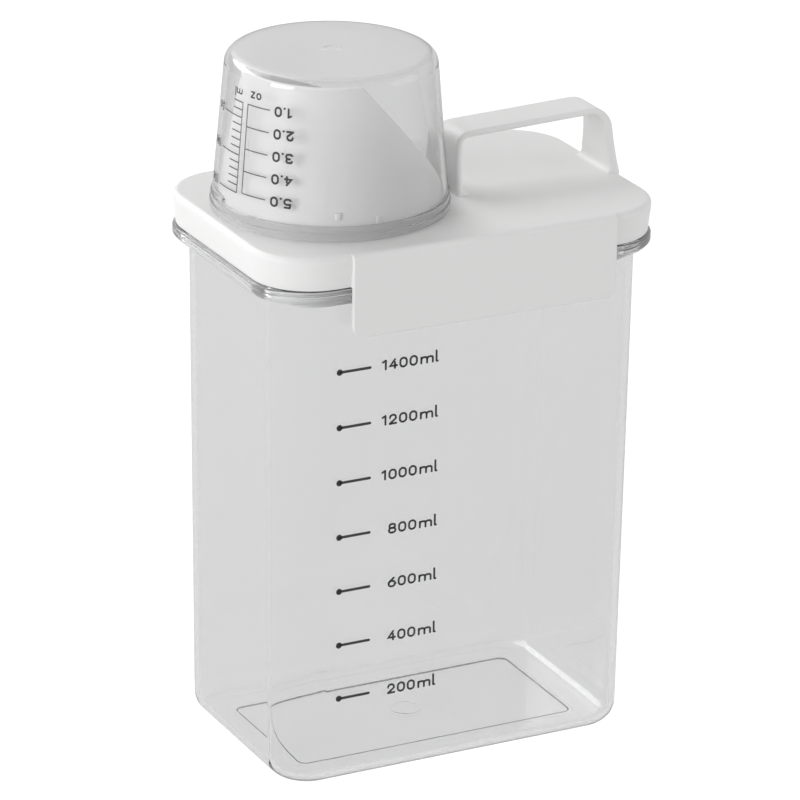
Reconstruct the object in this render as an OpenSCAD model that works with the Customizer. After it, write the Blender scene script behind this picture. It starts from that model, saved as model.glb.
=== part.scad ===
// Pourable laundry-powder dispenser: a clear drafted container, a white lid with
// a strap handle and a slanted pouring spout, and a clear measuring cup that
// stands upside down over the spout.
// Millimetres, +Z up, X along the long side, the origin under the middle of the base.

/* [Container] */
// Length of the container at the table
base_l = 130.5; // [110:0.5:150]
// Depth of the container at the table
base_w = 84; // [70:0.5:100]
// Height of the rim's upper edge, where the lid's skirt comes down
rim_z = 178; // [140:1:230]
// Wall draft on each side, in degrees
draft = 0.57; // [0.2:0.01:1.2]
// Radius of the upright corners at the table
corner_r = 14.5; // [10:0.5:20]
// Wall thickness
wall_t = 2.2; // [1.6:0.1:3]
// Floor thickness
floor_t = 2.2; // [1.8:0.1:4]
// Radius between the walls and the floor
heel_r = 7.5; // [4:0.5:9]
// Width of the foot band under the two long sides
foot_side_w = 17; // [12:0.5:22]
// Width of the foot band under the two short ends
foot_end_w = 13.8; // [12:0.1:20]
// Depth of the recess under the middle of the floor
foot_h = 0.8; // [0.3:0.1:1.2]
// How far the rim stands out from the wall
rim_out = 4.2; // [3.4:0.1:5]
// How much further the lid reaches at the two short ends
end_out = 0.6; // [0:0.1:1]
// Height of the rim's outer face
rim_h = 3; // [2.4:0.1:5]
// Height of the lip above the rim, inside the lid
lip_h = 7; // [4:0.1:7.4]

/* [Lid] */
// How far the lid's upper edge stands out from the rim
lid_out = 0.9; // [0:0.1:1.6]
// How far the foot of the skirt stands in from the rim
skirt_in = 0.3; // [0.2:0.1:1]
// Height from the rim to the top of the lid
lid_h = 11.6; // [10:0.1:16]
// Thickness of the lid's top
lid_t = 2.2; // [1.6:0.1:3]
// Thickness of the skirt
skirt_t = 2; // [1.4:0.1:2.4]
// Radius along the lid's upper edge
lid_edge_r = 2; // [1:0.1:3]
// Clearance between the lid and the container
lid_gap = 0.3; // [0.2:0.05:0.6]
// How far the plug reaches below the rim
plug_depth = 8; // [6:0.5:14]
// Thickness of the plug wall
plug_t = 1.8; // [1.2:0.1:2.6]

/* [Lid gasket] */
// Thickness of the gasket's band
gasket_t = 0.9; // [0.6:0.1:1.2]
// Height of the gasket's band
gasket_h = 4; // [3:0.1:6]
// Thickness of each of the gasket's two lips
gasket_lip_t = 0.8; // [0.4:0.1:1.2]

/* [Label panel] */
// Length of the panel on the front of the lid
panel_l = 96.4; // [60:0.4:100]
// Distance of the panel's middle from the lid's middle
panel_x = 2.4; // [-4:0.1:4]
// How far the panel hangs below the rim
panel_drop = 16.7; // [8:0.1:30]
// Thickness of the panel
panel_t = 1.4; // [1:0.1:2]
// Radius of the panel's lower corners
panel_r = 4; // [2:0.5:8]

/* [Handle] */
// Clearance between the cup's rim and the handle's inner leg
handle_gap = 1.7; // [1:0.1:8]
// How far the handle's end leg stands in from the lid's end
handle_in = 0.12; // [0:0.01:8]
// Depth of the strap, front to back
handle_w = 15.6; // [10:0.1:22]
// Depth of each leg where it meets the lid
handle_foot_w = 23; // [18:0.5:30]
// Height over which the legs narrow to the strap's depth
handle_flare_h = 19; // [12:0.5:20]
// Height of the strap's upper face over the inner leg
handle_h0 = 20.8; // [18:0.1:34]
// Height of the strap's upper face over the end leg
handle_h1 = 22.8; // [18:0.1:34]
// Thickness of the strap and the inner leg
strap_t = 2.3; // [1.8:0.1:3.5]
// Thickness of the end leg
leg_t = 3.2; // [2.4:0.1:5]
// How far each leg leans out on its way down to the lid
leg_lean = 1.2; // [0:0.1:3]
// Outer radius where the strap meets the inner leg
handle_r0 = 5; // [4:0.1:7]
// Outer radius where the strap meets the end leg
handle_r1 = 8.4; // [6:0.1:11]
// Radius of the flare at the foot of each leg
foot_r = 2.6; // [1:0.1:3.5]

/* [Spout] */
// Clearance between the spout's collar and the cup's wall above its rim
collar_gap = 0.6; // [0.5:0.1:2]
// Height of the collar's upright wall
collar_h = 6.9; // [5:0.1:8]
// Draft of the spout above the collar, in degrees
spout_draft = 10.8; // [9:0.1:13]
// Wall thickness of the spout
spout_t = 1.8; // [1.4:0.1:2.4]
// Clearance between the spout's level top and the inside of the cup
mouth_gap = 4.3; // [3:0.1:16]
// Height of the low side of the slanted mouth
mouth_low = 3.4; // [2:0.1:6]
// Slope of the mouth, in degrees
mouth_slope = 49; // [40:0.5:60]

/* [Measuring cup] */
// How far the cup's rim stands in from the lid's end
cup_in = 2.82; // [1:0.01:6]
// Clearance under the cup's rim
cup_gap = 0.3; // [0.2:0.05:0.5]
// Height of the cup
cup_h = 53; // [52.8:0.1:70]
// How far the cup's rim stands out from its wall
cup_rim_out = 0.9; // [0.5:0.1:2]
// Height of each of the two steps of the rim
cup_step_h = 2.6; // [2:0.1:3]
// Outer radius of the cup's wall just above its rim
cup_r = 38.8; // [38.4:0.1:39.4]
// Draft of the cup's wall, in degrees
cup_draft = 4.93; // [3:0.01:5.2]
// Wall thickness of the cup
cup_t = 1.6; // [1.2:0.1:1.8]
// Outer radius between the cup's wall and its bottom
cup_edge_r = 4.6; // [3:0.1:6]
// Number of short ribs round the inside of the cup
rib_count = 3; // [2:1:4]

/* [Hidden] */

CLEAR = [0.86, 0.87, 0.88, 0.45];
WHITE = [0.93, 0.93, 0.93];
SILICONE = [0.82, 0.84, 0.85];

corner_fn = 48;
round_fn = 96;
cut = 1;

lid_z = rim_z + lid_h;
lip_z = rim_z + lip_h;
skirt_z = rim_z + lid_gap;
ceiling_z = lid_z - lid_t;
plug_z = rim_z - plug_depth;
gasket_z = rim_z - gasket_h;

// Every level form is drawn round the same four upright corner axes
axis_x = base_l / 2 - corner_r;
axis_y = base_w / 2 - corner_r;

// Corner radius of the container's outside at a height
function wall_r(z) = corner_r + z * tan(draft);

rim_r = wall_r(rim_z) + rim_out;
lid_r = rim_r + lid_out;
skirt_r = rim_r - skirt_in;
mouth_r = wall_r(plug_z) - wall_t;

lip_reach = 0.55;
plug_r = mouth_r - lid_gap - lip_reach - gasket_t;

panel_back = axis_y + rim_r + lid_gap;
panel_front = panel_back + panel_t;

// The cup stands by the lid's left end, and the handle fills the length that is left
lid_end = axis_x + end_out + lid_r;
cup_rim_r = cup_r + cup_rim_out;
spout_x = cup_in + cup_rim_r - lid_end;
handle_x0 = spout_x + cup_rim_r + handle_gap;
handle_x1 = lid_end - handle_in;
strap_x0 = handle_x0 + leg_lean;
strap_x1 = handle_x1 - leg_lean;

// The spout takes its sizes from the cup that stands over it
collar_r = cup_r - cup_t - collar_gap;
mouth_high = cup_gap + cup_h - cup_t - mouth_gap;

// A flat rectangle with round corners of radius r round the corner axes
module round_rect(r) {
    square([2 * (axis_x + r), 2 * axis_y], center = true);
    square([2 * axis_x, 2 * (axis_y + r)], center = true);
    for (sx = [-1, 1], sy = [-1, 1])
        translate([sx * axis_x, sy * axis_y])
            circle(r = r, $fn = corner_fn);
}

// A solid with the side section [radius, height] of its points on all four sides
module corner_form(section, out = 0) {
    heights = [for (p = section) p[1]];
    hull()
        for (sx = [-1, 1], sy = [-1, 1])
            translate([sx * (axis_x + out), sy * axis_y])
                rotate_extrude($fn = corner_fn)
                    polygon(concat([[0, min(heights)]], section, [[0, max(heights)]]));
}

// An arc of points [radius, height] from a level edge up or down to an upright one
function edge_arc(r, z, radius, side) =
    [for (a = [0 : 15 : 90])
        [r - radius * (1 - cos(a)), z - side * radius * (1 - sin(a))]];

// The container's form from z0 up to z1, set in from its outside, with a round heel
module body_form(z0, z1, inset, heel) {
    arc = edge_arc(wall_r(z0) - inset, z0, heel, -1);
    corner_form(concat([for (i = [len(arc) - 1 : -1 : 0]) arc[i]],
                       [[wall_r(z1) - inset, z1]]));
}

// An upright ring with round corners
module ring_wall(r, thickness, z0, z1) {
    translate([0, 0, z0])
        linear_extrude(z1 - z0)
            difference() {
                round_rect(r);
                round_rect(r - thickness);
            }
}

// The solid form of the rim: an upright face over a curved underside
module rim_form() {
    low = rim_z - rim_h;
    under = 3;
    ease = 0.5;
    corner_form([[wall_r(low - under), low - under], [rim_r - 1.3, low - under / 2],
                 [rim_r, low], [rim_r, rim_z - ease], [rim_r - ease, rim_z]],
                end_out + lid_out);
}

// The recess under the middle of the floor, seen from above
module foot_outline() {
    r = 3;
    half_x = base_l / 2 - foot_end_w;
    half_y = base_w / 2 - foot_side_w;
    square([2 * half_x, 2 * (half_y - r)], center = true);
    square([2 * (half_x - r), 2 * half_y], center = true);
    for (sx = [-1, 1], sy = [-1, 1])
        translate([sx * (half_x - r), sy * (half_y - r)])
            circle(r = r, $fn = corner_fn);
}

module container() {
    color(CLEAR)
        difference() {
            union() {
                body_form(0, lip_z, 0, heel_r);
                rim_form();
            }
            body_form(floor_t, lip_z + cut, wall_t, heel_r - wall_t);
            translate([0, 0, -cut])
                linear_extrude(cut + foot_h)
                    foot_outline();
        }
}

// The outside of the cap, with a rounded upper edge
module cap_form() {
    corner_form(concat([[skirt_r, skirt_z]], edge_arc(lid_r, lid_z, lid_edge_r, 1)), end_out);
}

// The hollow under the cap
module cap_hollow() {
    corner_form([[skirt_r - skirt_t, skirt_z - cut], [skirt_r - skirt_t, ceiling_z]], end_out);
}

// The plug wall, with a rib over and a rib under the gasket
module plug() {
    rib = gasket_t - 0.2;
    rib_h = 1.2;
    ring_wall(plug_r, plug_t, plug_z, ceiling_z + lid_t / 2);
    for (z = [gasket_z - rib_h, gasket_z + gasket_h])
        ring_wall(plug_r + rib, rib + plug_t / 2, z, z + rib_h);
}

// The panel seen from the front, with round lower corners
module panel_outline() {
    low = rim_z - panel_drop;
    taper = 0.6;
    hull() {
        for (s = [-1, 1])
            translate([s * (panel_l / 2 - panel_r - taper), low + panel_r])
                circle(r = panel_r, $fn = corner_fn);
        translate([-panel_l / 2, lid_z - lid_edge_r])
            square([panel_l, lid_edge_r]);
    }
}

// The label panel: a side profile that grows out of the cap's upper edge
module label_panel() {
    low = rim_z - panel_drop;
    top = lid_z - lid_edge_r + 0.4;
    ease = 0.5;
    inner = axis_y + skirt_r - skirt_t / 2;
    intersection() {
        translate([panel_x - panel_l / 2 - cut, 0, 0])
            rotate([90, 0, 90])
                linear_extrude(panel_l + 2 * cut)
                    polygon([[-inner, top], [-axis_y - lid_r, top],
                             [-panel_front, top - 2 * ease],
                             [-panel_front, low + ease], [-panel_front + ease, low],
                             [-panel_back, low], [-panel_back, skirt_z], [-inner, skirt_z]]);
        translate([panel_x, -panel_front - cut, 0])
            rotate([90, 0, 0])
                mirror([0, 0, 1])
                    linear_extrude(panel_front)
                        panel_outline();
    }
}

// The handle seen from the front: the outer loop, or the finger gap in it
module handle_outline(gap) {
    left_t = gap ? strap_t : 0;
    right_t = gap ? leg_t : 0;
    r0 = handle_r0 - left_t;
    r1 = handle_r1 - right_t;
    low = gap ? lid_z : lid_z - 0.8 * lid_t;
    hull() {
        translate([strap_x0 + left_t + r0, lid_z + handle_h0 - left_t - r0])
            circle(r = r0, $fn = 64);
        translate([strap_x1 - right_t - r1, lid_z + handle_h1 - left_t - r1])
            circle(r = r1, $fn = 64);
        translate([handle_x0 + left_t, low])
            square([1, 1]);
        translate([handle_x1 - right_t - 1, low])
            square([1, 1]);
    }
}

// A concave flare between a leg and the top of the lid
module leg_flare(x, side) {
    sink = 0.05;
    translate([x, lid_z])
        difference() {
            translate([side > 0 ? -sink : -foot_r, -sink])
                square([foot_r + sink, foot_r + sink]);
            translate([side * foot_r, foot_r])
                circle(r = foot_r, $fn = 48);
        }
}

// The loop of the handle seen from the front, with a flare at each leg
module handle_loop() {
    difference() {
        handle_outline(false);
        difference() {
            handle_outline(true);
            translate([handle_x0, lid_z - cut])
                square([handle_x1 - handle_x0, cut]);
        }
    }
    leg_flare(handle_x0 + strap_t, 1);
    leg_flare(handle_x1 - leg_t, -1);
}

// Half the handle's depth at a height above the lid
function handle_half(h) =
    handle_w / 2 + (handle_foot_w - handle_w) / 2 * pow(1 - min(h / handle_flare_h, 1), 2);

// The handle: its loop, cut to legs that grow deeper towards the lid
module handle() {
    heights = [for (i = [0 : 8]) handle_flare_h * i / 8];
    side = concat([[handle_half(0), lid_z - lid_t]],
                  [for (h = heights) [handle_half(h), lid_z + h]],
                  [[handle_w / 2, lid_z + handle_h1 + cut]]);
    intersection() {
        rotate([90, 0, 0])
            linear_extrude(handle_foot_w + 2 * cut, center = true)
                handle_loop();
        translate([handle_x0 - cut, 0, 0])
            rotate([90, 0, 90])
                linear_extrude(handle_x1 - handle_x0 + 2 * cut)
                    polygon(concat(side, [for (i = [len(side) - 1 : -1 : 0])
                                              [-side[i][0], side[i][1]]]));
    }
}

// Half of the spout in section, set in from its outside: upright collar, drafted wall
module spout_half(inset, low) {
    break_z = lid_z + collar_h;
    top = lid_z + mouth_high + (inset > 0 ? cut : 0);
    polygon([[0, low], [collar_r - inset, low], [collar_r - inset, break_z],
             [collar_r - inset - (top - break_z) * tan(spout_draft), top], [0, top]]);
}

// Everything above the slanted mouth
module above_mouth() {
    reach = 2 * mouth_high;
    translate([spout_x + collar_r, 0, lid_z + mouth_low])
        rotate([0, mouth_slope, 0])
            translate([-reach, -reach, 0])
                cube(2 * reach);
}

// The spout's outside, with small nubs round it that steady the cup
module spout() {
    nub = 0.15;
    nub_w = 2;
    nub_h = 2.4;
    nubs = [[112, 7.1], [91, 5.1]];
    difference() {
        translate([spout_x, 0, 0]) {
            rotate_extrude($fn = round_fn)
                spout_half(0, lid_z - lid_t / 2);
            for (side = [-1, 1], n = nubs)
                rotate(side * n[0])
                    translate([collar_r - spout_t / 2, -nub_w / 2, lid_z + n[1]])
                        cube([spout_t / 2 + nub, nub_w, nub_h]);
        }
        above_mouth();
    }
}

// The hollow of the spout, and the hole through the lid that stays inside the plug
module spout_passage() {
    ledge = 0.4;
    translate([spout_x, 0, 0])
        rotate_extrude($fn = round_fn)
            spout_half(spout_t, lid_z - ledge);
    intersection() {
        translate([spout_x, 0, ceiling_z - cut])
            cylinder(h = lid_t + 2 * cut, r = collar_r - spout_t - ledge, $fn = round_fn);
        translate([0, 0, ceiling_z - 2 * cut])
            linear_extrude(lid_t + 4 * cut)
                round_rect(plug_r - plug_t - ledge);
    }
}

module lid() {
    color(WHITE)
        difference() {
            union() {
                difference() {
                    cap_form();
                    cap_hollow();
                }
                label_panel();
                plug();
                handle();
                spout();
            }
            spout_passage();
        }
}

module lid_gasket() {
    color(SILICONE) {
        edge = 0.6;
        ring_wall(plug_r + gasket_t, gasket_t, gasket_z, gasket_z + gasket_h);
        for (z = [gasket_z + edge, gasket_z + gasket_h - edge - gasket_lip_t])
            ring_wall(plug_r + gasket_t + lip_reach, gasket_t, z, z + gasket_lip_t);
    }
}

// Outer radius of the cup's wall at a height above the top of its rim
function cup_wall_r(h) = cup_r - h * tan(cup_draft);

// Half of the cup's section, solid, set in from its outside
module cup_half(inset, z0, z1, edge) {
    rim_top = 2 * cup_step_h;
    r_top = cup_wall_r(cup_h - rim_top) - inset;
    polygon(concat(
        [[0, z0], [cup_wall_r(-rim_top) - inset, z0]],
        [for (a = [0 : 10 : 90])
            [r_top - edge * (1 - cos(a)) + edge * (1 - sin(a)) * tan(cup_draft),
             z1 - edge * (1 - sin(a))]],
        [[0, z1]]));
}

module measuring_cup() {
    cup_z = lid_z + cup_gap;
    gate_r = 2;
    gate_h = 0.4;
    rib_r = cup_wall_r(0) - cup_t;
    rib_t = 0.3;
    rib_z = 4.4;
    rib_h = 2.6;
    rib_angle = 25;
    rib_turn = -86;
    color(CLEAR)
        translate([spout_x, 0, cup_z]) {
            difference() {
                union() {
                    rotate_extrude($fn = round_fn)
                        cup_half(0, 0, cup_h, cup_edge_r);
                    cylinder(h = cup_step_h, r = cup_rim_r, $fn = round_fn);
                    translate([0, 0, cup_step_h])
                        cylinder(h = cup_step_h, r1 = cup_rim_r - 0.3, r2 = cup_r + 0.1,
                                 $fn = round_fn);
                    translate([0, 0, cup_h - cup_t / 2])
                        cylinder(h = cup_t / 2 + gate_h, r = gate_r, $fn = corner_fn);
                }
                rotate_extrude($fn = round_fn)
                    cup_half(cup_t, -cut, cup_h - cup_t, cup_edge_r - cup_t);
            }
            for (turn = [0 : 360 / rib_count : 359])
                rotate(turn + rib_turn)
                    rotate_extrude(angle = rib_angle, $fn = round_fn)
                        translate([rib_r - rib_t, rib_z])
                            square([rib_t + cup_t / 3, rib_h]);
        }
}

container();
lid();
lid_gasket();
measuring_cup();
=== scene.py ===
# %% [markdown]
# # A laundry detergent dispenser
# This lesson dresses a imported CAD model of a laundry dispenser: a clear box that
# holds the powder, a white lid with a handle and a pouring spout, and a clear
# measuring cup that stands upside down over the spout.
# The CAD model is loaded first and never changed. Every piece that is made below
# sits in the same place as the solid it stands for, so the moving parts still fit.

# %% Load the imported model
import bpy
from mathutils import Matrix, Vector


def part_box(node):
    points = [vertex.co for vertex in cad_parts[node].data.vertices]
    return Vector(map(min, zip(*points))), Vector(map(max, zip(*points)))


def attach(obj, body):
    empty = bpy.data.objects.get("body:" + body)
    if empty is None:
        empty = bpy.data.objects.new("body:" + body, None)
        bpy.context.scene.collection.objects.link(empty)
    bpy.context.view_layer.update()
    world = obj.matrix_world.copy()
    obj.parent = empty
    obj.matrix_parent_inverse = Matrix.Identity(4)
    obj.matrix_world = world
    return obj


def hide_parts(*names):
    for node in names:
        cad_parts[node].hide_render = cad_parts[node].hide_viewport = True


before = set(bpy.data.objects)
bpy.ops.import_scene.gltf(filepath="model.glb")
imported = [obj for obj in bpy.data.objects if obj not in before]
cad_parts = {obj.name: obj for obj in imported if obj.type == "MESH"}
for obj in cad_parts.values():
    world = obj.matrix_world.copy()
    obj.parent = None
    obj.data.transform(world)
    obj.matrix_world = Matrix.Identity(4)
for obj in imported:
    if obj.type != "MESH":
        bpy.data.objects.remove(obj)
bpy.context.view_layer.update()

# %% [markdown]
# ## Sizes
# A moulded part is drawn from a short list of sizes. They repeat the CAD model's
# values in millimetres, because a maker thinks in millimetres, and one factor
# turns them into Blender's metres at the moment a mesh is made.

# %% Sizes of the container
import math

import bmesh
import bpy
from mathutils import Matrix, Vector

MM = 0.001
base_l, base_w, rim_z = 130.5, 84.0, 178.0
draft, corner_r, wall_t, floor_t = math.radians(0.57), 14.5, 2.2, 2.2
heel_r, foot_side_w, foot_end_w, foot_h, foot_r = 7.5, 17.0, 13.8, 0.8, 3.0
rim_out, end_out, rim_h, lip_h, lid_out = 4.2, 0.6, 3.0, 7.0, 0.9
axis_x = base_l / 2 - corner_r
axis_y = base_w / 2 - corner_r


def wall_r(z):
    """Corner radius of the container's outside at a height."""
    return corner_r + z * math.tan(draft)


rim_r = wall_r(rim_z) + rim_out
rim_end = end_out + lid_out
print(f"container {base_l} x {base_w} mm at the table, rim {2 * (axis_x + rim_r + rim_end):.1f} mm long")

# %% Sizes of the lid, the spout and the cup
lid_z = rim_z + 11.6
lid_t, skirt_t, lid_edge_r, lid_gap = 2.2, 2.0, 2.0, 0.3
lid_r = rim_r + lid_out
skirt_r = rim_r - 0.3
skirt_z = rim_z + lid_gap
ceiling_z = lid_z - lid_t
cup_z, cup_h, cup_r, cup_rim_r = lid_z + 0.3, 53.0, 38.8, 39.7
cup_step_h, cup_t, cup_edge_r, cup_draft = 2.6, 1.6, 4.6, math.radians(4.93)
lid_end = axis_x + end_out + lid_r
spout_x, collar_r, spout_t = 2.82 + cup_rim_r - lid_end, 36.6, 1.8
break_z, spout_draft = lid_z + 6.9, math.radians(10.8)
mouth_low, mouth_high, mouth_slope = 3.4, 48.8, math.radians(49)
print(f"lid top at {lid_z} mm, cup top at {cup_z + cup_h + 0.4:.1f} mm")

# %% [markdown]
# ## Camera
# The photograph was taken from the front left and a little above, from far away,
# so its upright lines stay almost parallel. A long lens does the same here. The
# camera's three directions are worked out from its compass angle, its height
# angle and a small roll, and written straight into its matrix.

# %% Camera
FRAME_PX = 800
turn, tilt, roll = math.radians(27.1), math.radians(21.18), math.radians(0.83)
focal_px, distance = 5081.0, 1708.5
target = Vector((-3.32, 0.0, 116.02))
back = Vector((-math.sin(turn) * math.cos(tilt), -math.cos(turn) * math.cos(tilt), math.sin(tilt)))
level = Vector((math.cos(turn), -math.sin(turn), 0.0))
upward = back.cross(level)
right = math.cos(roll) * level + math.sin(roll) * upward
top = -math.sin(roll) * level + math.cos(roll) * upward
lens = bpy.data.cameras.new("studio_camera")
lens.sensor_width = 36.0
lens.lens = focal_px * lens.sensor_width / FRAME_PX
lens.clip_start, lens.clip_end = 0.05, 20.0
camera = bpy.data.objects.new("studio_camera", lens)
bpy.context.scene.collection.objects.link(camera)
place = (target + back * distance) * MM
camera.matrix_world = Matrix((
    (right.x, top.x, back.x, place.x),
    (right.y, top.y, back.y, place.y),
    (right.z, top.z, back.z, place.z),
    (0, 0, 0, 1)))
bpy.context.scene.camera = camera
print(f"camera {lens.lens:.0f} mm lens, {place.length:.2f} m from the base")

# %% [markdown]
# ## Helpers for moulded shapes
# Almost every surface of a moulded part is a section carried round a path. Three
# small helpers are enough: one rounds the corners of a section, one draws a level
# ring of points, and one joins rings of equal length with faces. Joining rings
# gives clean quads that refract light evenly, which a boolean would not.

# %% Round the corners of a section
ARC_STEPS = 5


def rounded(points, steps=ARC_STEPS):
    """Replace each point (coordinates..., radius) with an arc that touches both its sides."""
    out = []
    for i, (*spot, radius) in enumerate(points):
        here = Vector(spot)
        if radius == 0 or i in (0, len(points) - 1):
            out.append(here)
            continue
        to_last = (Vector(points[i - 1][:-1]) - here).normalized()
        to_next = (Vector(points[i + 1][:-1]) - here).normalized()
        half = to_last.angle(to_next) / 2
        reach = radius / math.tan(half)
        centre = here + (to_last + to_next).normalized() * radius / math.sin(half)
        start, end = here + to_last * reach - centre, here + to_next * reach - centre
        sweep = start.angle(end)
        for k in range(steps + 1):
            t = k / steps
            out.append(centre + (start * math.sin((1 - t) * sweep) + end * math.sin(t * sweep))
                       / math.sin(sweep))
    return out


print("an arc of", len(rounded([(0, 0, 0), (1, 0, 0.5), (1, 1, 0)])) - 2, "points for each corner")

# %% Level rings
CORNER_STEPS = 14
ROUND_STEPS = 128


def oblong(half_x, half_y, radius, z, x=0.0):
    """A level rectangle with round corners, counted anticlockwise from the right."""
    ring = []
    for k, (sx, sy) in enumerate(((1, 1), (-1, 1), (-1, -1), (1, -1))):
        for i in range(CORNER_STEPS + 1):
            a = math.radians(90 * (k + i / CORNER_STEPS))
            ring.append(Vector((x + sx * (half_x - radius) + radius * math.cos(a),
                                sy * (half_y - radius) + radius * math.sin(a), z)))
    return ring


def post_ring(r, z, out=0.0):
    """A ring round the four corner axes, r outside them, as the CAD model draws its walls."""
    return oblong(axis_x + out + r, axis_y + r, r, z)


def circle(r, z, x=spout_x):
    """A level circle round the spout's axis."""
    return [Vector((x + r * math.cos(math.tau * i / ROUND_STEPS),
                    r * math.sin(math.tau * i / ROUND_STEPS), z)) for i in range(ROUND_STEPS)]


print("rings of", len(post_ring(corner_r, 0)), "and", len(circle(collar_r, 0)), "points")

# %% Join rings into a mesh
SHARP = math.radians(38)


def make_piece(name, points, faces, material, body, stands_for=None, slot=None):
    """A mesh object from points in millimetres, facing outwards, and hung on its body."""
    mesh = bpy.data.meshes.new(name)
    mesh.from_pydata([tuple(p * MM) for p in points], [], faces)
    mesh.validate()
    solid = bmesh.new()
    solid.from_mesh(mesh)
    bmesh.ops.recalc_face_normals(solid, faces=solid.faces)
    solid.to_mesh(mesh)
    solid.free()
    mesh.shade_smooth()
    mesh.set_sharp_from_angle(angle=SHARP)
    piece = bpy.data.objects.new(name, mesh)
    bpy.context.scene.collection.objects.link(piece)
    mesh.materials.append(material)
    shading = piece.modifiers.new("flat_faces_stay_flat", "WEIGHTED_NORMAL")
    shading.keep_sharp = True
    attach(piece, body)
    if stands_for:
        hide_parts(stands_for)
    print(name, len(mesh.vertices), "points,", len(mesh.polygons), "faces")
    return piece


def finish_where(piece, material, test):
    """Give the faces whose middle passes a test, in millimetres, a material of their own."""
    slot_number = len(piece.data.materials)
    piece.data.materials.append(material)
    chosen = [face for face in piece.data.polygons if test(*(face.center / MM))]
    for face in chosen:
        face.material_index = slot_number
    print(material.name, "on", len(chosen), "faces")


def join_rings(rings, loop=False, start=0):
    """Points and quads that join rings of equal length, with end faces unless they loop."""
    n = len(rings[0])
    pairs = list(zip(range(len(rings) - 1), range(1, len(rings))))
    if loop:
        pairs.append((len(rings) - 1, 0))
    faces = [(start + a * n + i, start + a * n + (i + 1) % n,
              start + b * n + (i + 1) % n, start + b * n + i) for a, b in pairs for i in range(n)]
    if not loop:
        last = start + (len(rings) - 1) * n
        faces += [tuple(start + i for i in reversed(range(n))), tuple(last + i for i in range(n))]
    return [p for ring in rings for p in ring], faces


def gather(solids):
    """Several joined solids as one list of points and faces."""
    points, faces = [], []
    for more, quads in solids:
        faces += [tuple(i + len(points) for i in f) for f in quads]
        points += more
    return points, faces


print("flat faces keep flat shading up to an edge of", round(math.degrees(SHARP)), "degrees")

# %% [markdown]
# ## The moulded surface
# All the parts are injection moulded, and a moulded face is never perfectly even:
# it has a fine grain from the tool and slow waves from cooling. One node group
# makes both, so that each plastic can take its own amount. It gives a tone, a
# roughness and a height. The tone feeds the colour, and the height feeds a Bump.

# %% A node group for moulded surfaces


def new_group(name, inputs, outputs):
    """An empty shader node group with float sockets, and its two end nodes."""
    group = bpy.data.node_groups.new(name, "ShaderNodeTree")
    for label, value in inputs:
        socket = group.interface.new_socket(label, in_out="INPUT", socket_type="NodeSocketFloat")
        socket.default_value = value
    for label in outputs:
        group.interface.new_socket(label, in_out="OUTPUT", socket_type="NodeSocketFloat")
    return group, group.nodes.new("NodeGroupInput"), group.nodes.new("NodeGroupOutput")


def maths(tree, operation, a, b):
    """A Math node. Each input is a socket or a number."""
    node = tree.nodes.new("ShaderNodeMath")
    node.operation = operation
    for slot, value in zip(node.inputs, (a, b)):
        if isinstance(value, (int, float)):
            slot.default_value = value
        else:
            tree.links.new(value, slot)
    return node.outputs[0]


def noise(tree, vector, scale, detail):
    """A Noise Texture's value around zero."""
    node = tree.nodes.new("ShaderNodeTexNoise")
    node.inputs["Detail"].default_value = detail
    tree.links.new(vector, node.inputs["Vector"])
    if isinstance(scale, (int, float)):
        node.inputs["Scale"].default_value = scale
    else:
        tree.links.new(scale, node.inputs["Scale"])
    return maths(tree, "SUBTRACT", node.outputs["Fac"], 0.5)


moulded, take, give = new_group(
    "moulded_surface",
    [("Grain scale", 3000.0), ("Grain depth", 0.2), ("Wave scale", 25.0), ("Wave depth", 1.0),
     ("Tone spread", 0.05), ("Roughness", 0.4), ("Roughness spread", 0.1)],
    ["Tone", "Roughness", "Height"])
where = moulded.nodes.new("ShaderNodeTexCoord").outputs["Object"]
grain = noise(moulded, where, take.outputs["Grain scale"], 2.0)
wave = noise(moulded, where, take.outputs["Wave scale"], 1.0)
tone = maths(moulded, "MULTIPLY", wave, take.outputs["Tone spread"])
speckle = maths(moulded, "MULTIPLY", grain, maths(moulded, "MULTIPLY", take.outputs["Tone spread"], 0.4))
moulded.links.new(maths(moulded, "ADD", 1.0, maths(moulded, "ADD", tone, speckle)), give.inputs["Tone"])
rough = maths(moulded, "MULTIPLY", maths(moulded, "ADD", wave, grain), take.outputs["Roughness spread"])
moulded.links.new(maths(moulded, "ADD", take.outputs["Roughness"], rough), give.inputs["Roughness"])
height = maths(moulded, "ADD", maths(moulded, "MULTIPLY", grain, take.outputs["Grain depth"]),
               maths(moulded, "MULTIPLY", wave, take.outputs["Wave depth"]))
moulded.links.new(height, give.inputs["Height"])
print("group", moulded.name, "with", len(moulded.nodes), "nodes")

# %% [markdown]
# ## Opaque plastics
# The lid is white polypropylene with a fine matt grain. The gasket is soft
# silicone, and the printed marks are a dark grey ink. All three are one
# Principled shader with the moulded surface in front of it, and differ only in
# their values. The thin lines of the cup's scales let more light past than the
# thick figures, so they have a paler ink.

# %% White lid, gasket and ink


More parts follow.
